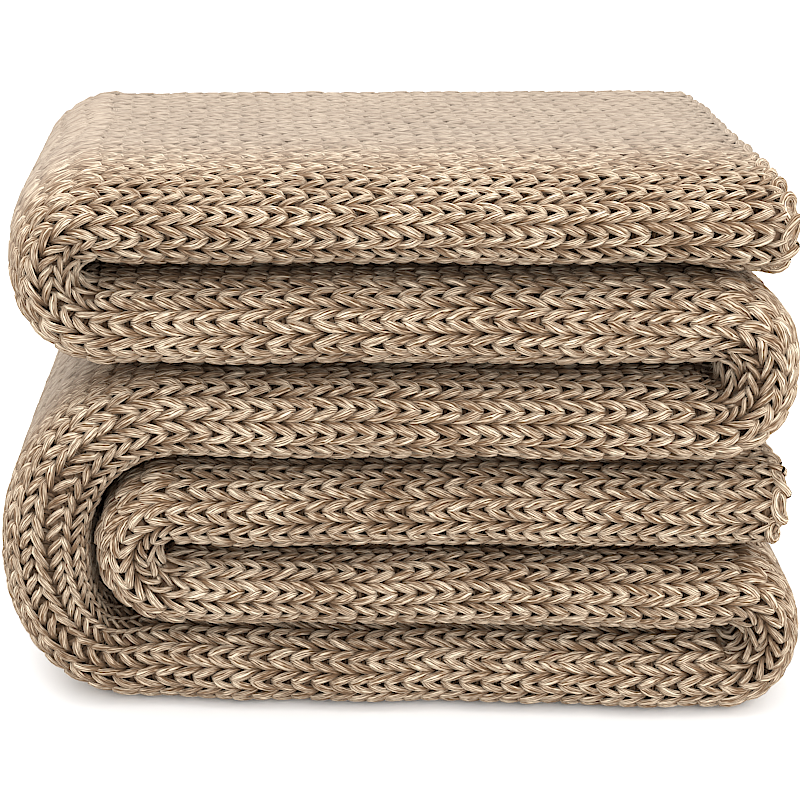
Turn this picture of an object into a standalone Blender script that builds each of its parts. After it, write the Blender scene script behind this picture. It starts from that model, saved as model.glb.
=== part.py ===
"""A chunky knit weighted blanket, folded lengthwise and then back and forth into a stack.

The stack has six layers.  Seen from the front (the -Y side) the cloth starts at the top
right, runs left, and goes round five folds until its other end shows at the right of the
fourth layer.  Each layer is the cloth laid in four, so that its front is one round fold
and its back is two round lips.  The whole blanket is one piece of cloth: one solid, lofted
along the middle line of the folded cloth.
"""
import math
from collections import namedtuple

import bmesh
import bpy
from mathutils import Vector

NAME = "blanket"
MM = 0.001
TINY = 1e-9

# The knit
WALES_PER_SIDE = 18     # columns of stitches from the front fold to the back crease, a side
RIB = 1.1               # height of a column over the middle of the surface, in millimetres

# The cloth as it is folded lengthwise, in millimetres
DEPTH = 183.0           # front fold to back edge
NOSE_POWER = 2.3        # how blunt the front fold is; 2 is an ellipse
LIP_NOTCH = 11.0        # how deep the crease between the two back lips is
LIP_SWELL = 1.0         # the bound edge at each end stands this much proud
LIP_LENGTH = 5.0        # length of the bound edge along the cloth
END_ROUND = 3.0         # how far the end face stands out past its rim
END_SHRINK = 0.84       # size of the end face against its rim
CURVE_STEPS = 32        # steps of each curve of the cross-section before it is spaced out

# Slow unevenness along the cloth: amplitude, wavelength and phase
Wave = namedtuple("Wave", "size length phase")
FRONT_WAVES = (Wave(0.9, 143.0, 0.4), Wave(0.6, 61.0, 1.9))
THICK_WAVES = (Wave(0.3, 97.0, 1.1), Wave(0.2, 53.0, 0.2))

# Middle line of the cloth in millimetres: x to the right, z above the floor.
# thick is the thickness, nose_p and nose_q how far the front fold's curve reaches back on
# the side that is up in the first layer and on the other side, front the fold's own place,
# and lean how far the layer drifts to the left for each millimetre towards the back.
Run = namedtuple("Run", "x_from z_from x_to z_to thick_from thick_to nose_p nose_q "
                        "front_from front_to lean_from lean_to")
# side is -1 for a fold at the left, bulge how far it reaches past the ends of its runs,
# and power says how square it is; 1 is an ellipse
Fold = namedtuple("Fold", "side bulge power thick steps")

CLOTH = (
    Run(148.0, 217.8, -116.0, 217.2, 40.0, 38.6, 92.0, 26.0, 0.5, 0.0, 0.10, 0.11),
    Fold(-1, 21.0, 1.0, 35.0, 8),
    Run(-116.0, 174.8, 123.0, 174.8, 37.8, 37.4, 30.0, 24.0, 0.0, -1.0, 0.10, 0.05),
    Fold(1, 20.5, 1.0, 35.0, 8),
    Run(123.0, 133.5, -86.0, 133.8, 37.2, 37.4, 24.0, 24.0, -1.0, 1.5, 0.05, 0.08),
    Fold(-1, 54.4, 0.88, 36.6, 12),
    Run(-106.0, 16.2, 139.0, 16.2, 36.4, 36.0, 22.0, 24.0, 4.0, -4.0, 0.08, 0.0),
    Fold(1, 19.1, 1.0, 29.0, 8),
    Run(139.0, 54.6, -92.0, 54.7, 33.2, 33.0, 22.0, 22.0, -4.0, 1.0, 0.0, 0.06),
    Fold(-1, 19.0, 1.0, 32.6, 8),
    Run(-92.0, 92.6, 156.0, 92.8, 36.0, 36.2, 24.0, 24.0, 1.0, 0.0, 0.06, 0.03),
)
RUN_STEP = 60.0         # spacing of the cross-sections along a run

# Where a cross-section stands, its place along the cloth, and its own shape as in a run
Station = namedtuple("Station", "x z length thick nose_p nose_q front lean")

COLOUR = (0.50, 0.37, 0.26, 1.0)
ROUGHNESS = 0.9
SHARP_ANGLE = math.radians(50.0)


def mix(a, b, t):
    """The value a fraction t of the way from a to b."""
    return a + (b - a) * t


def wave_sum(waves, length):
    """Slow unevenness at a length along the cloth."""
    return sum(w.size * math.sin(2.0 * math.pi * length / w.length + w.phase) for w in waves)


def run_points(run):
    """Cross-sections along one run, without those at its two ends."""
    count = max(2, round(abs(run.x_to - run.x_from) / RUN_STEP))
    for i in range(1, count):
        t = i / count
        yield Station(mix(run.x_from, run.x_to, t), mix(run.z_from, run.z_to, t), 0.0,
                      mix(run.thick_from, run.thick_to, t), run.nose_p, run.nose_q,
                      mix(run.front_from, run.front_to, t), mix(run.lean_from, run.lean_to, t))


def fold_points(before, fold, after):
    """Cross-sections round one fold, from the end of one run to the start of the next."""
    z_middle = (before.z_to + after.z_from) / 2.0
    z_reach = (before.z_to - after.z_from) / 2.0
    for i in range(fold.steps + 1):
        t = i / fold.steps
        angle = math.pi * min(t, 1.0 - TINY)
        out = math.sin(angle) ** fold.power
        up = math.copysign(abs(math.cos(angle)) ** fold.power, math.cos(angle))
        thick = mix(before.thick_to, after.thick_from, t)
        yield Station(mix(before.x_to, after.x_from, t) + fold.side * fold.bulge * out,
                      z_middle + z_reach * up, 0.0,
                      mix(thick, fold.thick, math.sin(angle) ** 2),
                      mix(before.nose_p, after.nose_p, t), mix(before.nose_q, after.nose_q, t),
                      mix(before.front_to, after.front_from, t),
                      mix(before.lean_to, after.lean_from, t))


def end_points(run, at_start):
    """Cross-sections of the bound edge at one end of the cloth, from the end face inwards."""
    if at_start:
        face = Station(run.x_from, run.z_from, 0.0, run.thick_from,
                       run.nose_p, run.nose_q, run.front_from, run.lean_from)
        inwards = math.copysign(LIP_LENGTH, run.x_to - run.x_from)
    else:
        face = Station(run.x_to, run.z_to, 0.0, run.thick_to,
                       run.nose_p, run.nose_q, run.front_to, run.lean_to)
        inwards = math.copysign(LIP_LENGTH, run.x_from - run.x_to)
    for step, swell in enumerate((LIP_SWELL, LIP_SWELL, -LIP_SWELL)):
        yield face._replace(x=face.x + inwards * step, thick=face.thick + swell)


def cloth_stations():
    """All cross-sections from the first end of the cloth to the last, with their lengths."""
    stations = list(end_points(CLOTH[0], True))
    for i, row in enumerate(CLOTH):
        if isinstance(row, Run):
            stations.extend(run_points(row))
        else:
            stations.extend(fold_points(CLOTH[i - 1], row, CLOTH[i + 1]))
    stations.extend(reversed(list(end_points(CLOTH[-1], False))))
    length = 0.0
    measured = [stations[0]]
    for last, station in zip(stations, stations[1:]):
        length += math.hypot(station.x - last.x, station.z - last.z)
        measured.append(station._replace(length=length))
    return measured


def half_outline(thick, nose):
    """One side of the cross-section as (depth, height), from the front fold to the crease
    between the back lips."""
    half = thick / 2.0
    lip = half / 2.0
    points = []
    for i in range(CURVE_STEPS + 1):
        angle = math.pi / 2.0 * i / CURVE_STEPS
        depth = nose * (1.0 - math.cos(angle) ** (2.0 / NOSE_POWER))
        points.append((depth, half * math.sin(angle) ** (2.0 / NOSE_POWER)))
    for i in range(CURVE_STEPS + 1):
        angle = math.pi / 2.0 - math.pi * i / CURVE_STEPS
        reach = lip if angle > 0.0 else LIP_NOTCH
        points.append((DEPTH - reach * (1.0 - math.cos(angle)), lip + lip * math.sin(angle)))
    return points


def even_points(points, count):
    """The same line as count + 1 points that are evenly spaced along it."""
    lengths = [0.0]
    for a, b in zip(points, points[1:]):
        lengths.append(lengths[-1] + math.dist(a, b))
    result = []
    k = 0
    for i in range(count + 1):
        target = lengths[-1] * i / count
        while k < len(points) - 2 and lengths[k + 1] < target:
            k += 1
        span = max(lengths[k + 1] - lengths[k], TINY)
        t = (target - lengths[k]) / span
        result.append((mix(points[k][0], points[k + 1][0], t), mix(points[k][1], points[k + 1][1], t)))
    return result


def ribbed(points):
    """The line with a ridge on every other point, as the columns of stitches stand out."""
    result = [(points[0][0] - RIB, points[0][1])]
    for i in range(1, len(points) - 1):
        along = (points[i + 1][0] - points[i - 1][0], points[i + 1][1] - points[i - 1][1])
        size = math.hypot(*along)
        height = RIB if i % 2 == 0 else -RIB
        result.append((points[i][0] - along[1] / size * height, points[i][1] + along[0] / size * height))
    result.append(points[-1])
    return result


def cross_section(station):
    """The closed cross-section as (depth, height), once round from the front fold."""
    thick = station.thick + wave_sum(THICK_WAVES, station.length)
    front = station.front + wave_sum(FRONT_WAVES, station.length)
    upper = ribbed(even_points(half_outline(thick, station.nose_p), 2 * WALES_PER_SIDE))
    lower = ribbed(even_points(half_outline(thick, station.nose_q), 2 * WALES_PER_SIDE))
    ring = upper + [(depth, -height) for depth, height in reversed(lower[1:-1])]
    return [(mix(front + depth, depth, depth / DEPTH), height) for depth, height in ring]


def ring_points(station, along, section, push=0.0, shrink=1.0):
    """The cross-section set square to the cloth's middle line, pressed flat on the floor."""
    across = (along[1], -along[0])
    points = []
    for depth, height in section:
        x = station.x + across[0] * height * shrink + along[0] * push - station.lean * depth
        z = station.z + across[1] * height * shrink + along[1] * push
        points.append(Vector((x, depth, max(z, 0.0))) * MM)
    return points


def directions(stations):
    """The unit direction of the middle line at each cross-section."""
    result = []
    last = len(stations) - 1
    for i in range(len(stations)):
        a = stations[max(i - 1, 0)]
        b = stations[min(i + 1, last)]
        size = math.hypot(b.x - a.x, b.z - a.z)
        result.append(((b.x - a.x) / size, (b.z - a.z) / size))
    return result


def loft_mesh():
    """The folded blanket as one closed mesh."""
    stations = cloth_stations()
    ways = directions(stations)
    sections = [cross_section(s) for s in stations]
    rings = [ring_points(s, w, c) for s, w, c in zip(stations, ways, sections)]
    rings.insert(0, ring_points(stations[0], ways[0], sections[0], -END_ROUND, END_SHRINK))
    rings.append(ring_points(stations[-1], ways[-1], sections[-1], END_ROUND, END_SHRINK))
    bm = bmesh.new()
    loops = [[bm.verts.new(p) for p in ring] for ring in rings]
    for a, b in zip(loops, loops[1:]):
        for i in range(len(a)):
            j = (i + 1) % len(a)
            bm.faces.new((a[i], a[j], b[j], b[i]))
    bm.faces.new(loops[0])
    bm.faces.new(loops[-1])
    bmesh.ops.triangulate(bm, faces=bm.faces[:])
    bmesh.ops.recalc_face_normals(bm, faces=bm.faces[:])
    return bm


def centre_on_floor(bm):
    """Move the mesh so that its box stands with its middle over the origin."""
    xs = [v.co.x for v in bm.verts]
    ys = [v.co.y for v in bm.verts]
    shift = Vector((-(min(xs) + max(xs)) / 2.0, -(min(ys) + max(ys)) / 2.0, 0.0))
    bmesh.ops.translate(bm, verts=bm.verts[:], vec=shift)


def knit_material():
    """Matt beige yarn."""
    material = bpy.data.materials.new("beige_knit")
    material.use_nodes = True
    shader = material.node_tree.nodes["Principled BSDF"]
    shader.inputs["Base Color"].default_value = COLOUR
    shader.inputs["Roughness"].default_value = ROUGHNESS
    shader.inputs["Metallic"].default_value = 0.0
    return material


def build():
    """Make the blanket in a collection of its own."""
    for old in list(bpy.data.objects):
        bpy.data.objects.remove(old, do_unlink=True)
    collection = bpy.data.collections.new("weighted_blanket")
    bpy.context.scene.collection.children.link(collection)
    bm = loft_mesh()
    centre_on_floor(bm)
    mesh = bpy.data.meshes.new(NAME)
    bm.to_mesh(mesh)
    bm.free()
    mesh.materials.append(knit_material())
    mesh.shade_smooth()
    mesh.set_sharp_from_angle(angle=SHARP_ANGLE)
    blanket = bpy.data.objects.new(NAME, mesh)
    collection.objects.link(blanket)


build()
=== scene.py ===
"""Looks of the folded, chunky knit weighted blanket.

The cloth is knitted here course by course: each course is one yarn that runs across the
columns of stitches (wales) and loops once in each.  The yarns lie on the outside of the
frame's folded shape, over a smaller, darker core that stands for the cloth within each layer.
The large left fold is a little thicker than the frame's, and the four others are a little
fuller and squarer.  Lengths are in millimetres until a mesh is made.

The cloth has two sides, which meet at the tip of its front fold and at the crease at the
back.  The one that is up in the first layer is p in names, and its wales are counted as
positive.  The other is q.
"""
import math
from collections import namedtuple

import bpy
import numpy as np
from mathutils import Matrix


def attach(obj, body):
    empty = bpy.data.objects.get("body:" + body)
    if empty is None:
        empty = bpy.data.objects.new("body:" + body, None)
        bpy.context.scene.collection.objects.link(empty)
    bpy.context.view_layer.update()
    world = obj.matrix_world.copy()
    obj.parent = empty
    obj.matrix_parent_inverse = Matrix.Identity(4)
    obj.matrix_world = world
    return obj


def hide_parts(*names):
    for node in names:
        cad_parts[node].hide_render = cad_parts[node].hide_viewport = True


MM = 0.001
RANDOM = np.random.default_rng(41)
TINY = 1e-9
FAR = 1e3

# The folded cloth ---------------------------------------------------------------------------
DEPTH = 183.0           # from the tip of the front fold to the back
NOSE_POWER = 2.3        # of the front fold's rounding, where 2 is an ellipse
LIP_NOTCH = 11.0        # how deep the crease between the two lips at the back is
ARC_SAMPLES = 49
WALES_PER_SIDE = 18     # from the tip of the front fold to the crease at the back
CENTRE_X = -4.86        # where the middle of the frame's box lies in the sizes below
CENTRE_Y = 89.06

# Slow unevenness along the cloth, of where its front lies and of its thickness
Wave = namedtuple("Wave", "size length phase")
FRONT_WAVES = (Wave(0.9, 143.0, 0.4), Wave(0.6, 61.0, 1.9))
THICK_WAVES = (Wave(0.3, 97.0, 1.1), Wave(0.2, 53.0, 0.2))

# The cloth's way from its first end to its last: runs across the stack, and folds between.
# Of a run, x and z are the way of its middle line, thick is the height of the layer, nose_p
# and nose_q are the depth of the front fold's rounding on each side, front is how far back
# the fold's tip lies, and lean how far the layer moves to the left for each millimetre of
# depth.  course is the height of a stitch along the run, shift how many wales the line
# between two wales lies from the fold's tip, and back how much higher the far side lies.
Run = namedtuple("Run", "x_from z_from x_to z_to thick_from thick_to nose_p nose_q "
                        "front_from front_to lean_from lean_to course shift back")
# A fold swings out to one side by bulge, the more squarely the smaller power is, and is
# thick in its middle.  twist above 1 leaves the change of shift to its later part, crowd is
# how much closer the courses lie in its middle, and nose the share of nose_q left there.
Fold = namedtuple("Fold", "side bulge power thick twist crowd nose")
CLOTH = (
    Run(148.0, 217.8, -116.0, 217.2, 40.0, 38.6, 92.0, 26.0, 0.5, 0.0, 0.10, 0.11, 8.1, -0.30, 2.0),
    Fold(-1, 23.5, 0.95, 35.0, 1.0, 0.22, 1.0),
    Run(-116.0, 174.8, 123.0, 174.8, 37.8, 37.4, 30.0, 24.0, 0.0, -1.0, 0.10, 0.05, 8.8, -0.50, 0.0),
    Fold(1, 23.0, 0.85, 35.0, 1.0, 0.28, 1.0),
    Run(123.0, 133.5, -86.0, 133.8, 37.2, 37.4, 24.0, 24.0, -1.0, 1.5, 0.05, 0.08, 8.5, -0.18, 0.0),
    Fold(-1, 53.6, 0.88, 40.2, 2.0, 0.20, 0.55),
    Run(-106.0, 16.2, 139.0, 16.2, 36.4, 36.0, 22.0, 24.0, 4.0, -4.0, 0.08, 0.0, 8.4, -1.92, 0.0),
    Fold(1, 19.6, 0.95, 29.0, 1.0, 0.35, 1.0),
    Run(139.0, 54.6, -92.0, 54.7, 33.2, 33.0, 22.0, 22.0, -4.0, 1.0, 0.0, 0.06, 8.0, -1.46, 0.0),
    Fold(-1, 20.5, 0.95, 32.6, 1.0, 0.28, 0.6),
    Run(-92.0, 92.6, 156.0, 92.8, 36.0, 36.2, 24.0, 24.0, 1.0, 0.0, 0.06, 0.03, 8.1, -1.42, 0.0),
)
SAMPLE_STEP = 4.0       # from one cross-section to the next in a run
FOLD_STEPS = 44         # from cross-section to cross-section round a fold
SAMPLES_PER_WALE = 4

# Where the cloth bends round, the wales at these distances from the tip of the front fold
# move away from it by so much, or towards it where less than nothing
Pull = namedtuple("Pull", "wale moved")
PULL = Pull((0.0, 0.5, 1.5, 2.5, 3.5, 4.5, 14.0), (0.0, 0.10, -0.10, -0.45, -0.75, -0.9, 0.0))

# How far the two ends of the cloth spread outwards: most at one wale, less on both sides of it
Flare = namedtuple("Flare", "end reach length wale spread")
FLARES = (
    Flare(0, 4.0, 14.0, 0.4, 4.6),
    Flare(0, 6.5, 30.0, 14.0, 6.0),
    Flare(1, 5.0, 14.0, -3.2, 3.4),
)
SAG = 5.0               # of the lower side at the first end
SAG_LENGTH = 22.0
SAG_WALES = 3.0         # the sag is complete this many wales from the tip of the front fold
END_CROWDING = 0.55     # courses lie this much closer at the cloth's ends, where it is spread
END_LENGTH = 14.0
GAP_WALE = 9            # gaps between layers are measured half way to the back,
GAP_APART = 45.0        # and only to cloth at least this far away along its length

# The core -----------------------------------------------------------------------------------
CORE_INSET = 5.6        # how far the core lies inside the frame's surface under the knit,
CORE_END_INSET = 4.4    # under the knit at the ends of the cloth,
CORE_HIDDEN_INSET = 1.2  # and where layers lie on each other
CORE_END_LENGTH = 14.0
CREASE_WALES = 1.5      # this near the crease at the back it lies as under the knit
HOLLOW_INSET = 3.5      # its ends are hollow: how thick the rim round the hollow is,
HOLLOW_ROWS = 2         # and how many cross-sections deep the hollow is
CORE_ROW_STEP = 3       # the core takes every third cross-section,
CORE_POINT_STEP = 2     # and every second point of it
CORE_FLOOR = 1.5        # no point of it lies lower

# The stitches -------------------------------------------------------------------------------
WALE = 10.85            # width and height of the stitch in the tables below
STITCH = 8.2
# Half a stitch, from its foot up the leg to its head; the other half is its mirror image.
# side is the distance from the middle of the wale, up goes towards the head, rise outwards,
# and wide and deep are half the yarn's width and thickness there.
Turn = namedtuple("Turn", "side up rise wide deep")
FINE_HALF = (
    Turn(2.6, -7.4, -2.4, 1.2, 1.1),
    Turn(0.7, -6.0, -1.8, 1.2, 1.1),
    Turn(0.9, -4.2, -0.4, 1.45, 1.15),
    Turn(1.5, -2.0, 0.7, 1.8, 1.2),
    Turn(2.35, 0.4, 1.25, 2.0, 1.25),
    Turn(3.35, 2.8, 1.4, 2.05, 1.25),
    Turn(4.4, 4.9, 1.2, 1.9, 1.2),
    Turn(4.95, 6.3, -0.2, 1.5, 1.15),
    Turn(4.0, 7.0, -2.6, 1.1, 1.1),
)
PLAIN_HALF = (
    Turn(2.6, -7.4, -2.4, 1.2, 1.1),
    Turn(0.8, -4.8, -1.0, 1.35, 1.2),
    Turn(2.2, -0.6, 1.1, 1.95, 1.4),
    Turn(4.1, 4.0, 1.1, 1.9, 1.3),
    Turn(4.0, 6.6, -2.2, 1.1, 1.1),
)
YARN_SIDES = 6
KNIT_INSET = 3.0        # the middle of the knit lies this far inside the frame's surface
FLOOR_CLEARANCE = 2.1   # no yarn's middle lies lower

# Which wales of a course are knitted
FINE_WALES = 4          # stitches up to this many wales from the front fold's tip are the finest
FRONT_WALES = 3.7       # on both sides of the tip this many wales are always knitted,
SLOT_REACH = 0.7        # and so many more for each millimetre of gap between the layers
SLOT_GAP = 2.0          # above this gap
GAP_COURSES = (-2, 0, 2)  # the gap is the widest of those this many courses ahead
LIP_WALES = 3.1         # knitted from the crease at the back outwards
END_COURSES = 3.5       # this near the cloth's ends the courses are knitted all round
FIRST_COURSE = 1.0      # courses from each end of the cloth to the first stitches
COURSES_A_PIECE = 60

# The stitches stand open round the tip of the front fold, and lie flat and close behind
OPEN_WALES = 3.4        # this far from the tip beside another layer and inside a fold,
FREE_WALES = 2.1        # this far where no other layer lies near,
STRETCHED_WALES = 1.2   # and this far on the outer side of a fold
CLOSE_WALES = 2.4       # within this many wales more they lie flat and close
FLAT_RISE = 0.22        # the share of their relief that is left there
FLAT_LIFT = 1.1         # how far they are lifted as a whole
FLAT_WIDE = 1.5         # and how many times wider and deeper the yarn is
FLAT_DEEP = 0.85
# Gaps to the next layer: where a change begins, and over how much more it is complete
FREE_GAP = (20.0, 15.0)       # from the first to the second of the three reaches above
STRETCHED_GAP = (8.0, 10.0)   # to the third on the outer side of a fold
SHADE_GAP = (3.0, 14.0)       # from the slot's shade to none

# Where less than room of a stitch's height is left, one course in count grows taller and the
# others sink; with a count of 0 all sink
Crowded = namedtuple("Crowded", "room soft count")
CROWDED = (Crowded(0.50, 0.12, 2), Crowded(0.27, 0.08, 4), Crowded(0.17, 0.06, 0))
SINK = 3.5              # how deep
SLIMMEST = 0.5          # share of a yarn's size that is left where there is no room
SPREAD_SIZE = 0.75      # how much it grows for each stitch's height of room above one,
SPREAD_ROOM = 0.8       # up to this much

# Unevenness of the stitches: random sizes, and slow waves that draw wales and courses aside
Jitter = namedtuple("Jitter", "slant reach rise wale course tone")
SLANT_SIZE = 0.05
REACH_SIZE = 0.05
RISE_SIZE = 0.25
TONE_SIZE = 0.14
KNOT_STEP = 0.5         # wales from one random value to the next
Drift = namedtuple("Drift", "size by_course by_wale")
WALE_DRIFT = (Drift(0.06, 0.19, 0.23), Drift(0.04, 0.47, -0.31))
COURSE_DRIFT = (Drift(0.14, 0.23, 0.9), Drift(0.08, 0.61, -0.5))
STREAK_START = 400.0    # a yarn's streaks begin at a random place within this length

# The tone of a stitch: painted light and shade, and a random unevenness
TONE = 0.62             # half way up a stitch, on top
PAINTED_LIGHT_UP = 0.60          # painted highlight: how much lighter at the height of one stitch above that, and painted shade as much darker one stitch below
PAINTED_SHADE_DEEP = (1.3, 0.4)  # painted shade: how much darker deep in the relief, where open and where flat
DEEP_FROM = 1.0         # the rise below which that begins,
DEEP_OVER = 3.0         # and how much further down it is complete
SLOT_SHADE = 0.55       # how much darker between two layers,
SLOT_WALES = 1.6        # this many wales from the tip of the front fold and further,
SLOT_SOFT = 2.0         # growing over so many wales,
BACK_WALES = 2.4        # and fading again this near the crease at the back
FOLD_LIGHT = 0.8        # the share of that shade that is missing in the middle of a fold
CALM_WALES = 5.5        # behind the open stitches the streaks fade over this many wales,
CALM_TONE = 0.6         # and so does this share of the unevenness of the tone

# The bound edge: rings of yarn round the end of the cloth -------------------------------------
BIND_IN = 0.45          # courses from the end of the cloth to the middle of the edge
BIND_INSETS = (5.4, 14.4)  # how far its two plies lie inside the frame's surface
BIND_SAMPLES = 6        # points a wale along its outline
BIND_LINK = 10.4        # from one ring to the next
BIND_RADIUS = 3.2       # of the edge that the rings lie round
BIND_LEANS = (0.22, 0.52)  # half turns from the cloth's face to the rings, in front and beyond
BIND_WALES = (3.0, 6.0)    # wales from the tip where the first lean ends and the second begins
BIND_LONG = 5.6         # half the length and breadth of a ring, and half the width of its yarn
BIND_BROAD = 3.5
BIND_WIDE = 2.0
BIND_DEEP = 0.85        # the yarn's thickness as a share of its width
BIND_SWELL = 0.12       # how much wider the yarn is at the ring's two ends
BIND_TILT = 1.1         # how far one end of a ring stands up, and the other dips
BIND_SLANT = 0.3        # sideways for each millimetre along
BIND_TONE = 0.75
BIND_STEPS = 18
BIND_SIDES = 8
RING_SIZE = 0.08        # unevenness of the rings' length and breadth, slant and tone
RING_SLANT_SIZE = 0.12
RING_TONE_SIZE = 0.1


def mix(a, b, t):
    """The value a fraction t of the way from a to b."""
    return a + (b - a) * t


def smooth(value, start=0.0, length=1.0):
    """A soft step from 0 to 1 that begins at start and is complete one length later."""
    t = np.clip((value - start) / length, 0.0, 1.0)
    return t * t * (3.0 - 2.0 * t)


def wave_sum(waves, length):
    """Slow unevenness at a length along the cloth."""
    return sum(w.size * math.sin(2.0 * math.pi * length / w.length + w.phase) for w in waves)


def running_length(steps):
    """The way gone at each point of a line, from the steps between its points."""
    return np.concatenate(([0.0], np.cumsum(steps)))


def unit(vectors):
    """The same directions with length one."""
    return vectors / np.maximum(np.linalg.norm(vectors, axis=-1, keepdims=True), TINY)


# The middle line and the surface of the folded cloth ----------------------------------------
Station = namedtuple("Station", "x z thick nose_p nose_q front lean course shift back fold crowd")


def run_stations(run):
    """Closely spaced cross-sections along one run."""
    count = round(abs(run.x_to - run.x_from) / SAMPLE_STEP)
    for i in range(count + 1):
        t = i / count
        yield Station(mix(run.x_from, run.x_to, t), mix(run.z_from, run.z_to, t),
                      mix(run.thick_from, run.thick_to, t), run.nose_p, run.nose_q,
                      mix(run.front_from, run.front_to, t), mix(run.lean_from, run.lean_to, t),
                      run.course, run.shift, run.back, 0.0, 0.0)


def fold_stations(before, fold, after):
    """Closely spaced cross-sections round one fold, without its two ends."""
    z_middle = (before.z_to + after.z_from) / 2.0
    z_reach = (before.z_to - after.z_from) / 2.0
    for i in range(1, FOLD_STEPS):
        t = i / FOLD_STEPS
        angle = math.pi * t
        bent = math.sin(angle)
        out = bent ** fold.power
        up = math.copysign(abs(math.cos(angle)) ** fold.power, math.cos(angle))
        thick = mix(before.thick_to, after.thick_from, t)
        yield Station(mix(before.x_to, after.x_from, t) + fold.side * fold.bulge * out,
                      z_middle + z_reach * up, mix(thick, fold.thick, bent ** 2),
                      mix(before.nose_p, after.nose_p, t),
                      mix(before.nose_q, after.nose_q, t) * mix(1.0, fold.nose, bent),
                      mix(before.front_to, after.front_from, t),
                      mix(before.lean_to, after.lean_from, t),
                      mix(before.course, after.course, t),
                      mix(before.shift, after.shift, t ** fold.twist),
                      mix(before.back, after.back, t), bent, fold.crowd * bent)


def cloth_stations():
    """All cross-sections as arrays by name, from the first end of the cloth to the last."""
    rows = []
    for i, row in enumerate(CLOTH):
        if isinstance(row, Run):
            rows.extend(run_stations(row))
        else:
            rows.extend(fold_stations(CLOTH[i - 1], row, CLOTH[i + 1]))
    return Station(*np.array(rows).T)


def half_outline(thick, nose):
    """One side of the cross-section, evenly spaced from the front fold to the back crease."""
    half = thick / 2.0
    lip = half / 2.0
    angle = np.linspace(0.0, math.pi / 2.0, ARC_SAMPLES)
    depth = nose * (1.0 - np.cos(angle) ** (2.0 / NOSE_POWER))
    height = half * np.sin(angle) ** (2.0 / NOSE_POWER)
    turn = np.linspace(math.pi / 2.0, -math.pi / 2.0, ARC_SAMPLES)
    reach = np.where(turn > 0.0, lip, LIP_NOTCH)
    depth = np.concatenate((depth, DEPTH - reach * (1.0 - np.cos(turn))))
    height = np.concatenate((height, lip + lip * np.sin(turn)))
    length = running_length(np.hypot(np.diff(depth), np.diff(height)))
    even = np.linspace(0.0, length[-1], WALES_PER_SIDE * SAMPLES_PER_WALE + 1)
    return np.interp(even, length, depth), np.interp(even, length, height)


def flare(lengths, wales):
    """How far the cloth spreads outwards, at the distances from its two ends."""
    return sum(f.reach * math.exp(-(lengths[f.end] / f.length) ** 2)
               * np.exp(-((wales - f.wale) / f.spread) ** 2) for f in FLARES)


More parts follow.
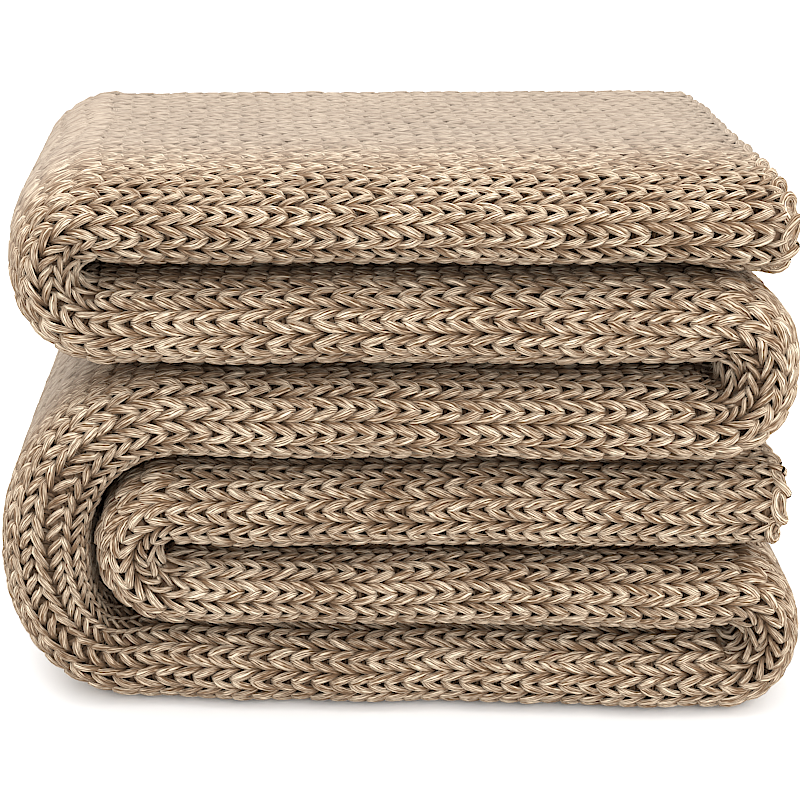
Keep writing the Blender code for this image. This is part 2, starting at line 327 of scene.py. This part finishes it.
class Cloth:
    """The outer surface of the folded cloth, by courses along it and wales across it.

    length is the way gone up to each cross-section, and courses the count of courses.
    gaps are how far the next layer lies from q and from p there.
    """

    def __init__(self):
        rows = cloth_stations()
        self.rows = rows
        step = np.hypot(np.diff(rows.x), np.diff(rows.z))
        self.length = running_length(step)
        near_end = np.exp(-(self.length / END_LENGTH) ** 2)
        near_end += np.exp(-((self.length[-1] - self.length) / END_LENGTH) ** 2)
        rate = (1.0 + rows.crowd + END_CROWDING * near_end) / rows.course
        self.courses = running_length(step * (rate[1:] + rate[:-1]) / 2.0)
        self.along = unit(np.stack((np.gradient(rows.x), np.gradient(rows.z)), axis=1))
        turn = np.gradient(self.along, axis=0)
        outer = np.sign(turn[:, 1] * self.along[:, 0] - turn[:, 0] * self.along[:, 1])
        self.stretched = outer * rows.fold  # positive where p is the outer side of a fold
        self.points = self.surface_points()
        self.normals = self.surface_normals()
        self.gaps = self.side_gaps()

    def surface_points(self):
        """A grid of points: cross-sections by samples, from q's crease over the tip to p's."""
        rows = self.rows
        side = WALES_PER_SIDE * SAMPLES_PER_WALE
        wales = np.arange(-side, side + 1) / SAMPLES_PER_WALE
        grid = []
        for i in range(len(rows.x)):
            thick = rows.thick[i] + wave_sum(THICK_WAVES, self.length[i])
            front = rows.front[i] + wave_sum(FRONT_WAVES, self.length[i])
            depth_p, height_p = half_outline(thick, rows.nose_p[i])
            depth_q, height_q = half_outline(thick, rows.nose_q[i])
            depth = np.concatenate((depth_q[:0:-1], depth_p))
            height = np.concatenate((-height_q[:0:-1], height_p))
            x = rows.x[i] + self.along[i, 1] * height - rows.lean[i] * depth
            x += flare((self.length[i], self.length[-1] - self.length[i]), wales)
            z = rows.z[i] - self.along[i, 0] * height + rows.back[i] * depth / DEPTH
            z -= SAG * math.exp(-(self.length[i] / SAG_LENGTH) ** 2) * smooth(-wales / SAG_WALES)
            grid.append(np.stack((x, mix(front + depth, depth, depth / DEPTH), z), axis=1))
        points = np.array(grid)
        points[..., 0] -= CENTRE_X
        points[..., 1] -= CENTRE_Y
        return points

    def surface_normals(self):
        """Outward directions on the same grid."""
        by_course = np.gradient(self.points, axis=0)
        by_wale = np.gradient(self.points, axis=1)
        return unit(np.cross(by_wale, by_course))

    def side_gaps(self):
        """How far the nearest other layer lies from q and from p, at each cross-section."""
        middle = WALES_PER_SIDE * SAMPLES_PER_WALE
        reach = GAP_WALE * SAMPLES_PER_WALE
        faces = [self.points[:, middle + side * reach][:, (0, 2)] for side in (-1, 1)]
        others = np.concatenate(faces)
        places = np.concatenate((self.length, self.length))
        gaps = []
        for face in faces:
            apart = np.linalg.norm(face[:, None] - others[None], axis=2)
            apart[np.abs(self.length[:, None] - places[None]) < GAP_APART] = FAR
            gaps.append(apart.min(axis=1))
        return np.array(gaps)

    def at_course(self, course, values):
        """values, one for each cross-section, read at a count of courses."""
        return np.interp(course, self.courses, values)

    def place(self, course, wale):
        """Points and outward directions at counts of courses and wales, arrays of one shape."""
        k = np.interp(course, self.courses, np.arange(len(self.courses)))
        moved = np.sign(wale) * np.interp(np.abs(wale), PULL.wale, PULL.moved)
        wale = wale + self.at_course(course, self.rows.fold) * moved
        m = (np.clip(wale, -WALES_PER_SIDE, WALES_PER_SIDE) + WALES_PER_SIDE) * SAMPLES_PER_WALE
        k0 = np.clip(np.floor(k).astype(int), 0, self.points.shape[0] - 2)
        m0 = np.clip(np.floor(m).astype(int), 0, self.points.shape[1] - 2)
        by_k, by_m = (k - k0)[..., None], (m - m0)[..., None]

        def read(grid):
            near = mix(grid[k0, m0], grid[k0, m0 + 1], by_m)
            far = mix(grid[k0 + 1, m0], grid[k0 + 1, m0 + 1], by_m)
            return mix(near, far, by_k)

        return read(self.points), unit(read(self.normals))

    def course_step(self, course, wale):
        """The way from half a course before to half a course beyond, at each of the wales."""
        ahead, _ = self.place(np.full(wale.shape, course + 0.5), wale)
        behind, _ = self.place(np.full(wale.shape, course - 0.5), wale)
        return ahead - behind


# Meshes -------------------------------------------------------------------------------------
def grid_quads(rows, columns, first):
    """Faces of a tube of points, row after row, counted from first."""
    i = np.arange(rows - 1)[:, None]
    j = np.arange(columns)[None]
    k = (j + 1) % columns
    quads = np.stack((i * columns + j, i * columns + k,
                      (i + 1) * columns + k, (i + 1) * columns + j), axis=-1)
    return quads.reshape(-1, 4) + first


def link_object(name, mesh, material):
    """An object of a finished mesh, in the scene."""
    mesh.materials.append(material)
    piece = bpy.data.objects.new(name, mesh)
    bpy.context.scene.collection.objects.link(piece)
    return piece


Yarn = namedtuple("Yarn", "line outward wide deep tone calm")


class YarnBatch:
    """Yarns that become one mesh."""

    def __init__(self):
        self.points, self.quads, self.uvs, self.tones, self.calms = [], [], [], [], []
        self.count = 0

    def add(self, yarn, sides):
        """One yarn along a line of points, with the surface's outward direction at each."""
        line = yarn.line
        run = unit(np.gradient(line, axis=0))
        across = unit(np.cross(run, yarn.outward))
        up = np.cross(across, run)
        angle = np.arange(sides) * (2.0 * math.pi / sides)
        wide = np.cos(angle)[None, :, None] * yarn.wide[:, None, None]
        deep = np.sin(angle)[None, :, None] * yarn.deep[:, None, None]
        ring = line[:, None] + across[:, None] * wide + up[:, None] * deep
        steps = np.linalg.norm(np.diff(line, axis=0), axis=1)
        length = running_length(steps) + RANDOM.uniform(0.0, STREAK_START)
        v = np.arange(sides + 1) / sides
        near_u, far_u = length[:-1, None], length[1:, None]
        left_v, right_v = v[None, :-1], v[None, 1:]
        shape = (len(line) - 1, sides)
        corners = [(near_u, left_v), (near_u, right_v), (far_u, right_v), (far_u, left_v)]
        uv = np.stack([np.stack((np.broadcast_to(a, shape), np.broadcast_to(b, shape)), axis=-1)
                       for a, b in corners], axis=2)
        self.points.append(ring.reshape(-1, 3))
        self.quads.append(grid_quads(len(line), sides, self.count))
        self.uvs.append(uv.reshape(-1, 2))
        self.tones.append(np.repeat(yarn.tone, sides))
        self.calms.append(np.repeat(yarn.calm, sides))
        self.count += len(line) * sides

    def make(self, name, material):
        """The batch as one smooth object, with the yarns' tone and calm as attributes."""
        points, quads, uvs = (np.concatenate(part) for part in (self.points, self.quads, self.uvs))
        mesh = bpy.data.meshes.new(name)
        mesh.vertices.add(len(points))
        mesh.vertices.foreach_set("co", (points * MM).astype(np.float32).ravel())
        mesh.loops.add(quads.size)
        mesh.loops.foreach_set("vertex_index", quads.astype(np.int32).ravel())
        mesh.polygons.add(len(quads))
        mesh.polygons.foreach_set("loop_start", np.arange(0, quads.size, 4, dtype=np.int32))
        mesh.polygons.foreach_set("use_smooth", np.ones(len(quads), dtype=bool))
        layer = mesh.uv_layers.new(name="along_and_round")
        layer.data.foreach_set("uv", uvs.astype(np.float32).ravel())
        for shade, values in (("tone", self.tones), ("calm", self.calms)):
            attribute = mesh.attributes.new(shade, "FLOAT", "POINT")
            attribute.data.foreach_set("value", np.concatenate(values).astype(np.float32))
        mesh.update(calc_edges=True)
        mesh.validate()
        return link_object(name, mesh, material)


# The knit -----------------------------------------------------------------------------------
def whole_stitch(half):
    """The turns of a stitch as arrays, from the foot at its left to the foot at its right."""
    left = [turn._replace(side=-turn.side) for turn in half]
    return Turn(*np.array(left + list(reversed(half))).T)


def course_jitter(course, wale):
    """Small unevenness of the stitches of one course, smooth from wale to wale."""
    low = math.floor(wale.min()) - 1
    high = math.ceil(wale.max()) + 2
    knots = np.arange(low, high, KNOT_STEP)
    noise = RANDOM.normal(size=(4, len(knots)))

    def read(row, size):
        return np.interp(wale, knots, noise[row] * size)

    def drift(waves):
        return sum(w.size * np.sin(course * w.by_course + wale * w.by_wale) for w in waves)

    return Jitter(read(0, SLANT_SIZE), read(1, REACH_SIZE), read(2, RISE_SIZE),
                  drift(WALE_DRIFT), drift(COURSE_DRIFT), read(3, TONE_SIZE))


def crowding(number, room):
    """How far one course sinks at each place, and how many times taller its stitches are."""
    sunk = np.zeros(room.shape)
    taller = np.ones(room.shape)
    for row in CROWDED:
        less = smooth((row.room - room) / row.soft)
        if row.count and number % row.count == 0:
            taller = taller * (1.0 + less)
        else:
            sunk = np.maximum(sunk, less)
    return sunk, taller


def open_reach(cloth, course, wale, gap):
    """How many wales from the tip of the front fold the stitches stand open."""
    stretched = cloth.at_course(course, cloth.stretched) * np.sign(wale)
    reach = mix(OPEN_WALES, FREE_WALES, smooth(gap, *FREE_GAP))
    free = smooth(gap, *STRETCHED_GAP)
    reach = mix(reach, STRETCHED_WALES, np.clip(stretched, 0.0, 1.0) * free)
    return mix(reach, OPEN_WALES, np.clip(-stretched, 0.0, 1.0))


def slot_shade(cloth, course, from_tip, gap):
    """How much a place lies in the shade between two layers, 0 to 1."""
    hidden = (1.0 - smooth(gap, *SHADE_GAP)) * smooth(from_tip, SLOT_WALES, SLOT_SOFT)
    hidden = hidden * (1.0 - FOLD_LIGHT * cloth.at_course(course, cloth.rows.fold))
    return hidden * smooth((WALES_PER_SIDE - BACK_WALES - from_tip) / SLOT_SOFT)


def stitch_course(cloth, number, course, first, last, half):
    """One course of yarn over the wales first to last."""
    turns = whole_stitch(half)
    wales = np.arange(first, last)
    stitch = Turn(*(np.tile(column, len(wales)) for column in turns))
    centre = np.repeat(wales + 0.5, len(turns.side))
    uneven = course_jitter(course, centre + stitch.side / WALE)
    side = stitch.side * (1.0 + uneven.slant)
    shift = cloth.at_course(course, cloth.rows.shift)
    wale = centre + side / WALE + shift + uneven.wale
    from_tip = np.abs(wale)
    room = np.linalg.norm(cloth.course_step(course, wale), axis=1) / STITCH
    sunk, taller = crowding(number, room)
    up = stitch.up / STITCH * (1.0 + uneven.reach) * taller
    points, outward = cloth.place(course - up + uneven.course, wale)
    slim = np.clip(room * taller, SLIMMEST, 1.0) + SPREAD_SIZE * np.clip(room - 1.0, 0.0, SPREAD_ROOM)
    gap_q, gap_p = (cloth.at_course(course, side_gap) for side_gap in cloth.gaps)
    gap = np.where(wale > 0.0, gap_p, gap_q)
    open_wales = open_reach(cloth, course, wale, gap)
    flat = smooth(from_tip, open_wales, CLOSE_WALES)
    rise = (stitch.rise * mix(1.0, FLAT_RISE, flat) + flat * FLAT_LIFT) * slim - SINK * sunk
    points = points + outward * (rise - KNIT_INSET + uneven.rise)[:, None]
    points[:, 2] = np.maximum(points[:, 2], FLOOR_CLEARANCE)
    # How deep a point lies in the relief, for the painted shade there
    depth = np.clip((DEEP_FROM - stitch.rise) / DEEP_OVER, 0.0, 1.0)
    hidden = slot_shade(cloth, course, from_tip, gap)
    calm = smooth(from_tip, open_wales, CALM_WALES) * (1.0 - hidden)
    # The tone paints a highlight towards the head of each stitch, and shade towards its foot, deep in
    # the relief and between two layers, over its random unevenness
    tone = (TONE + stitch.up / STITCH * PAINTED_LIGHT_UP - depth * mix(*PAINTED_SHADE_DEEP, flat)
            - hidden * SLOT_SHADE + uneven.tone * (1.0 - CALM_TONE * calm))
    wide = stitch.wide * (1.0 + uneven.slant) * mix(1.0, FLAT_WIDE, flat) * slim
    deep = stitch.deep * mix(1.0, FLAT_DEEP, flat) * slim
    return Yarn(points, outward, wide, deep, tone, calm)


def spans(cloth, course):
    """The stretches of wales of one course that can be seen."""
    near_end = min(course, cloth.courses[-1] - course) < END_COURSES
    reaches = []
    for side_gap in cloth.gaps:
        widest = max(cloth.at_course(course + ahead, side_gap) for ahead in GAP_COURSES)
        reach = FRONT_WALES + SLOT_REACH * max(widest - SLOT_GAP, 0.0)
        if near_end or reach > WALES_PER_SIDE - LIP_WALES:
            reach = WALES_PER_SIDE
        reaches.append(reach)
    reach_q, reach_p = reaches
    seen = [(-reach_q, reach_p)]
    if reach_q < WALES_PER_SIDE:
        seen.append((-WALES_PER_SIDE, -WALES_PER_SIDE + LIP_WALES))
    if reach_p < WALES_PER_SIDE:
        seen.append((WALES_PER_SIDE - LIP_WALES, WALES_PER_SIDE))
    shift = cloth.at_course(course, cloth.rows.shift)
    return [(math.floor(low - shift), math.ceil(high - shift)) for low, high in seen]


def split_span(first, last):
    """A stretch of wales in pieces: the front fold's finest stitches, and the plain ones."""
    if not first < 0 < last:
        return [(first, last, PLAIN_HALF)]
    fine_first, fine_last = max(first, -FINE_WALES), min(last, FINE_WALES)
    parts = [(fine_first, fine_last, FINE_HALF)]
    if first < fine_first:
        parts.append((first, fine_first, PLAIN_HALF))
    if last > fine_last:
        parts.append((fine_last, last, PLAIN_HALF))
    return parts


def knit(cloth, material):
    """All the courses that show, as a few joined meshes."""
    batches = {}
    between = cloth.courses[-1] - 2.0 * FIRST_COURSE
    courses = np.linspace(FIRST_COURSE, cloth.courses[-1] - FIRST_COURSE, round(between) + 1)
    for number, course in enumerate(courses):
        for span in spans(cloth, course):
            for first, last, half in split_span(*span):
                part = "front" if half is FINE_HALF else "outer"
                label = f"knit_{part}_{int(course // COURSES_A_PIECE)}"
                batch = batches.setdefault(label, YarnBatch())
                batch.add(stitch_course(cloth, number, course, first, last, half), YARN_SIDES)
    return [batch.make(label, material) for label, batch in batches.items()]


def bind_off(cloth, end, inset):
    """The rings of yarn that close one end of the cloth, along its outline at one depth."""
    course = (BIND_IN, cloth.courses[-1] - BIND_IN)[end]
    wales = np.linspace(-WALES_PER_SIDE, WALES_PER_SIDE, 2 * WALES_PER_SIDE * BIND_SAMPLES + 1)
    edge, outward = cloth.place(np.full(len(wales), course), wales)
    away = unit(cloth.course_step(course, wales)) * (1.0 if end else -1.0)
    edge = edge - outward * inset
    length = running_length(np.linalg.norm(np.diff(edge, axis=0), axis=1))
    links = round(length[-1] / BIND_LINK)
    turn = np.linspace(0.0, 2.0 * math.pi, BIND_STEPS + 1)
    batch = YarnBatch()
    for link in range(links):
        long, broad = RANDOM.normal(1.0, RING_SIZE, 2)
        slant = RANDOM.normal(BIND_SLANT, RING_SLANT_SIZE)
        up = BIND_LONG * long * np.cos(turn)
        side = BIND_BROAD * broad * np.sin(turn) + slant * up
        place = (link + 0.5) * length[-1] / links + up
        from_tip = np.abs(np.interp(place, length, wales))
        angle = math.pi * np.interp(from_tip, BIND_WALES, BIND_LEANS) + side / BIND_RADIUS
        centre, out, off = (np.stack([np.interp(place, length, column) for column in grid.T], axis=1)
                            for grid in (edge, outward, away))
        facing = unit(out * np.cos(angle)[:, None] + off * np.sin(angle)[:, None])
        line = centre + facing * (BIND_RADIUS + BIND_TILT * np.cos(turn))[:, None]
        line[:, 2] = np.maximum(line[:, 2], FLOOR_CLEARANCE)
        wide = BIND_WIDE * (1.0 + BIND_SWELL * np.cos(2.0 * turn))
        tone = np.full(len(turn), BIND_TONE + RANDOM.normal(0.0, RING_TONE_SIZE))
        calm = smooth(from_tip, FREE_WALES, CALM_WALES)
        batch.add(Yarn(line, facing, wide, BIND_DEEP * wide, tone, calm), BIND_SIDES)
    return batch


def bound_ends(cloth, material):
    """The bound edges at both ends: one on the outer cloth and one on the cloth folded inside."""
    return [bind_off(cloth, end, inset).make(f"bound_edge_{end}_{ply}", material)
            for end in (0, 1) for ply, inset in enumerate(BIND_INSETS)]


def knitted_share(cloth, wales):
    """How much each place of the surface lies under knit, 0 to 1."""
    share = np.where(np.abs(wales) > WALES_PER_SIDE - CREASE_WALES, 1.0, 0.0)
    shares = np.tile(share, (len(cloth.courses), 1))
    for i, course in enumerate(cloth.courses):
        shift = cloth.rows.shift[i]
        for first, last in spans(cloth, course):
            inside = np.minimum(wales - (first + shift), (last + shift) - wales)
            shares[i] = np.maximum(shares[i], smooth(inside))
    return shares


def core(cloth, material):
    """The cloth inside each layer, as one closed body that the knit lies on."""
    wales = np.linspace(-WALES_PER_SIDE, WALES_PER_SIDE, cloth.points.shape[1])
    from_end = np.minimum(cloth.length, cloth.length[-1] - cloth.length)
    deepest = mix(CORE_END_INSET, CORE_INSET, smooth(from_end / CORE_END_LENGTH))
    inset = mix(CORE_HIDDEN_INSET, deepest[:, None], knitted_share(cloth, wales))
    points = cloth.points - cloth.normals * inset[..., None]
    hollow = cloth.points - cloth.normals * (inset + HOLLOW_INSET)[..., None]
    last_row = len(points) - 1
    points = points[np.unique(np.r_[0:last_row:CORE_ROW_STEP, last_row])]
    points = np.concatenate((hollow[[HOLLOW_ROWS]], points, hollow[[last_row - HOLLOW_ROWS]]))
    points = points[:, :-1:CORE_POINT_STEP]
    points[..., 2] = np.maximum(points[..., 2], CORE_FLOOR)
    return closed_body("blanket_core", points, material)


def closed_body(name, rings, material):
    """A smooth object from rings of points in millimetres, closed by a fan at each end."""
    rows, columns = rings.shape[:2]
    points = np.concatenate((rings.reshape(-1, 3), [rings[0].mean(axis=0), rings[-1].mean(axis=0)]))
    j = np.arange(columns)
    k = (j + 1) % columns
    last = (rows - 1) * columns
    start = np.stack((j, k, np.full(columns, rows * columns)), axis=1)
    end = np.stack((last + k, last + j, np.full(columns, rows * columns + 1)), axis=1)
    quads = grid_quads(rows, columns, 0)[:, ::-1]
    mesh = bpy.data.meshes.new(name)
    mesh.from_pydata((points * MM).tolist(), [], quads.tolist() + start.tolist() + end.tolist())
    mesh.shade_smooth()
    mesh.update()
    return link_object(name, mesh, material)


# Materials ----------------------------------------------------------------------------------
# The yarn's colour runs from DARK_TAN to CREAM with a level that is partly painted light: painted shade
# in the hollows between strands, deep in the knit and between layers, painted highlights on the
# strands' crests and towards the heads of the stitches, and random patches and strands
DARK_TAN = (0.080, 0.043, 0.022, 1.0)
TAN = (0.212, 0.123, 0.065, 1.0)
CREAM = (0.735, 0.610, 0.460, 1.0)
PALE = (0.345, 0.285, 0.232, 1.0)
YARN_STOPS = ((0.28, DARK_TAN), (0.59, TAN), (0.97, CREAM))
STRAND_LEVEL = 0.84     # what the strands' height, the stitch's tone, the patches and each
TONE_LEVEL = 0.22       # strand's own shade add to the level that the stops above are read at
PATCH_LEVEL = 0.10
SHADE_LEVEL = 0.10
CALM_LEVEL = 0.75       # share of PALE where the streaks have faded
STRANDS = 13.0          # round the yarn
TWIST_LENGTH = 260.0    # millimetres for one turn of the yarn's twist
SWAY = 0.9              # how far the strands wander, in widths of a strand
SWAY_ROUND = 1.6        # how fast that changes round the yarn, and for each millimetre along
SWAY_ALONG = 0.13
SHADE_APART = 5.3       # how fast the own shade changes from strand to strand, and along
SHADE_ALONG = 0.11
PALE_STRAND = 0.60      # how much the height of a strand depends on its shade,
LOW_STRAND = 0.40       # and the height of the darkest
PATCH_GRAIN = 22.0      # of the uneven colour, for each metre
YARN_SHEEN = (0.85, 0.66, 0.48, 1.0)
CORE_GRAIN = 260.0
CORE_STOPS = ((0.3, (0.21, 0.125, 0.070, 1.0)), (0.75, (0.46, 0.29, 0.175, 1.0)))
FLOOR_GREY = (0.86, 0.86, 0.86, 1.0)


class Nodes:
    """Short calls for the nodes of one material."""

    def __init__(self, name):
        self.material = bpy.data.materials.new(name)
        self.material.use_nodes = True
        self.tree = self.material.node_tree
        self.shader = self.tree.nodes["Principled BSDF"]

    def new(self, kind, **settings):
        """A shader node with its settings."""
        node = self.tree.nodes.new("ShaderNode" + kind)
        for key, value in settings.items():
            setattr(node, key, value)
        return node

    def link(self, output, target):
        """Joins an output to an input."""
        self.tree.links.new(output, target)

    def fill(self, node, values):
        """Gives a node's inputs numbers or other nodes' outputs, in order."""
        for socket, value in zip(node.inputs, values):
            if isinstance(value, (int, float)):
                socket.default_value = value
            else:
                self.link(value, socket)
        return node.outputs[0]

    def math(self, operation, a, b=0.0, c=0.0):
        """The result of one operation."""
        return self.fill(self.new("Math", operation=operation), (a, b, c))

    def vector(self, x, y, z):
        """A vector from three parts."""
        return self.fill(self.new("CombineXYZ"), (x, y, z))

    def attribute(self, name):
        """A number that the mesh has for each point."""
        return self.new("Attribute", attribute_name=name).outputs["Fac"]

    def noise(self, vector, scale, detail=2.0, rough=0.5):
        """Soft noise read at a vector."""
        node = self.new("TexNoise")
        node.inputs["Scale"].default_value = scale
        node.inputs["Detail"].default_value = detail
        node.inputs["Roughness"].default_value = rough
        self.link(vector, node.inputs["Vector"])
        return node.outputs["Fac"]

    def stretch(self, factor):
        """A noise's middle range spread over 0 to 1."""
        node = self.new("MapRange")
        node.inputs["From Min"].default_value = 0.3
        node.inputs["From Max"].default_value = 0.7
        self.link(factor, node.inputs["Value"])
        return node.outputs[0]

    def weighted_sum(self, first, *others):
        """The sum of pairs of an output and its weight, added from the last."""
        product = self.math("MULTIPLY", *first)
        if not others:
            return product
        return self.math("ADD", product, self.weighted_sum(*others))

    def ramp(self, factor, stops):
        """The colour at a factor between stops of place and colour."""
        node = self.new("ValToRGB")
        elements = node.color_ramp.elements
        while len(elements) < len(stops):
            elements.new(0.5)
        for element, (place, colour) in zip(elements, stops):
            element.position = place
            element.color = colour
        self.link(factor, node.inputs[0])
        return node.outputs[0]

    def blend(self, factor, colour, other):
        """A colour mixed with a constant one."""
        node = self.new("Mix", data_type="RGBA")
        self.link(factor, node.inputs[0])
        self.link(colour, node.inputs[6])
        node.inputs[7].default_value = other
        return node.outputs[2]

    def relief(self, height, strength, distance):
        """Bumps on the surface, from a height of up to distance metres."""
        bump = self.new("Bump")
        bump.inputs["Strength"].default_value = strength
        bump.inputs["Distance"].default_value = distance
        self.link(height, bump.inputs["Height"])
        self.link(bump.outputs[0], self.shader.inputs["Normal"])


def yarn_material():
    """Loose yarn of many fine strands that twist slowly round it."""
    n = Nodes("beige_yarn")
    uv = n.new("UVMap", uv_map="along_and_round").outputs[0]
    split = n.new("SeparateXYZ")
    n.link(uv, split.inputs[0])
    along, round_ = split.outputs[0], split.outputs[1]
    turn = n.math("ADD", round_, n.math("DIVIDE", along, TWIST_LENGTH))
    angle = n.math("MULTIPLY", turn, 2.0 * math.pi)
    ring = n.vector(n.math("MULTIPLY", n.math("COSINE", angle), SWAY_ROUND),
                    n.math("MULTIPLY", n.math("SINE", angle), SWAY_ROUND),
                    n.math("MULTIPLY", along, SWAY_ALONG))
    sway = n.stretch(n.noise(ring, 1.0))
    phase = n.weighted_sum((turn, STRANDS), (sway, SWAY))
    strand = n.math("WRAP", n.math("FLOOR", phase), STRANDS, 0.0)
    across = n.math("MULTIPLY_ADD", n.math("FRACT", phase), 2.0, -1.0)
    round_top = n.math("SUBTRACT", 1.0, n.math("POWER", n.math("ABSOLUTE", across), 2.0))
    place = n.new("TexCoord").outputs["Object"]
    patches = n.stretch(n.noise(place, PATCH_GRAIN, detail=3.0, rough=0.55))
    own = n.vector(n.math("MULTIPLY", strand, SHADE_APART), n.math("MULTIPLY", along, SHADE_ALONG), 0.0)
    shade = n.stretch(n.noise(own, 1.0, rough=0.6))
    height = n.math("MULTIPLY", round_top, n.math("MULTIPLY_ADD", shade, PALE_STRAND, LOW_STRAND))
    # Painted shade in the hollows between the strands and painted highlights on their crests, from the
    # height, with the stitch's painted tone and the random patches and strands
    level = n.weighted_sum((height, STRAND_LEVEL), (n.attribute("tone"), TONE_LEVEL),
                           (patches, PATCH_LEVEL), (shade, SHADE_LEVEL))
    calm = n.math("MULTIPLY", n.attribute("calm"), CALM_LEVEL)
    n.link(n.blend(calm, n.ramp(level, YARN_STOPS), PALE), n.shader.inputs["Base Color"])
    n.relief(height, strength=0.7, distance=0.0006)
    n.shader.inputs["Roughness"].default_value = 0.82
    n.shader.inputs["Specular IOR Level"].default_value = 0.15
    n.shader.inputs["Sheen Weight"].default_value = 0.12
    n.shader.inputs["Sheen Tint"].default_value = YARN_SHEEN
    n.shader.inputs["Sheen Roughness"].default_value = 0.5
    return n.material


def core_material():
    """The brown shade deep in the knit."""
    n = Nodes("inner_yarn")
    place = n.new("TexCoord").outputs["Object"]
    grain = n.noise(place, CORE_GRAIN, detail=3.0, rough=0.6)
    n.link(n.ramp(grain, CORE_STOPS), n.shader.inputs["Base Color"])
    n.relief(grain, strength=0.8, distance=0.001)
    n.shader.inputs["Roughness"].default_value = 0.95
    return n.material


def floor_material():
    """Plain pale floor."""
    n = Nodes("pale_floor")
    n.shader.inputs["Base Color"].default_value = FLOOR_GREY
    n.shader.inputs["Roughness"].default_value = 0.7
    return n.material


# Stage --------------------------------------------------------------------------------------
CAMERA_DISTANCE = 553.1     # in front of the front folds
CAMERA_HEIGHT = 371.6
CAMERA_TILT = math.radians(22.0)
CAMERA_LENS = 67.5
CAMERA_SENSOR = 36.0
FLOOR_SIZE = 6.0            # in metres, as the lights' places and sizes
Light = namedtuple("Light", "name place target size power")
LIGHTS = (
    Light("top_light", (-0.25, 0.05, 0.95), (0.0, 0.0, 0.1), 0.9, 6.0),
    Light("front_light", (0.5, -0.9, 0.7), (0.0, 0.0, 0.12), 0.8, 6.6),
)
WORLD_LIGHT = 1.35
WHITE = (1.0, 1.0, 1.0, 1.0)
CRISPNESS = 0.08


def area_light(row):
    """A soft square light at one point, facing another."""
    light = bpy.data.lights.new(row.name, "AREA")
    light.energy = row.power
    light.size = row.size
    lamp = bpy.data.objects.new(row.name, light)
    bpy.context.scene.collection.objects.link(lamp)
    lamp.location = row.place
    x, y, z = (b - a for a, b in zip(row.place, row.target))
    lamp.rotation_euler = (math.atan2(math.hypot(x, y), -z), 0.0, math.atan2(-x, y))


def crisp_picture():
    """The slightly sharpened look of a catalogue photograph."""
    scene = bpy.context.scene
    scene.use_nodes = True
    tree = scene.node_tree
    tree.nodes.clear()
    picture = tree.nodes.new("CompositorNodeRLayers")
    crisp = tree.nodes.new("CompositorNodeFilter")
    crisp.filter_type = "SHARPEN"
    crisp.inputs["Fac"].default_value = CRISPNESS
    result = tree.nodes.new("CompositorNodeComposite")
    tree.links.new(picture.outputs["Image"], crisp.inputs["Image"])
    tree.links.new(crisp.outputs["Image"], result.inputs["Image"])


def stage():
    """Floor, soft light and the camera at the photograph's angle."""
    bpy.ops.mesh.primitive_plane_add(size=FLOOR_SIZE, location=(0.0, 0.0, 0.0))
    floor = bpy.context.object
    floor.name = "floor"
    floor.data.materials.append(floor_material())
    scene = bpy.context.scene
    world = bpy.data.worlds.new("studio")
    world.use_nodes = True
    background = world.node_tree.nodes["Background"]
    background.inputs["Color"].default_value = WHITE
    background.inputs["Strength"].default_value = WORLD_LIGHT
    scene.world = world
    for row in LIGHTS:
        area_light(row)
    camera = bpy.data.cameras.new("camera")
    camera.sensor_width = CAMERA_SENSOR
    camera.lens = CAMERA_LENS
    eye = bpy.data.objects.new("camera", camera)
    scene.collection.objects.link(eye)
    eye.location = (-CENTRE_X * MM, (-CAMERA_DISTANCE - CENTRE_Y) * MM, CAMERA_HEIGHT * MM)
    eye.rotation_euler = (math.pi / 2.0 - CAMERA_TILT, 0.0, 0.0)
    scene.camera = eye
    scene.view_settings.view_transform = "Standard"
    crisp_picture()


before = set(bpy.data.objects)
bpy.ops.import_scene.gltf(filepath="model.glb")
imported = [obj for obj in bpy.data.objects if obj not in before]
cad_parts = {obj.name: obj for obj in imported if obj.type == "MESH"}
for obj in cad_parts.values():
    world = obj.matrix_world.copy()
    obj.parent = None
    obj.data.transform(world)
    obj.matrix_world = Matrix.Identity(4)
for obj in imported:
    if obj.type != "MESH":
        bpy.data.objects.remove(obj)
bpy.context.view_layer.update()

folded = Cloth()
beige_yarn = yarn_material()
pieces = knit(folded, beige_yarn) + bound_ends(folded, beige_yarn)
inner = core(folded, core_material())
for piece in [inner] + pieces:
    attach(piece, "root")
    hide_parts("blanket")
stage()
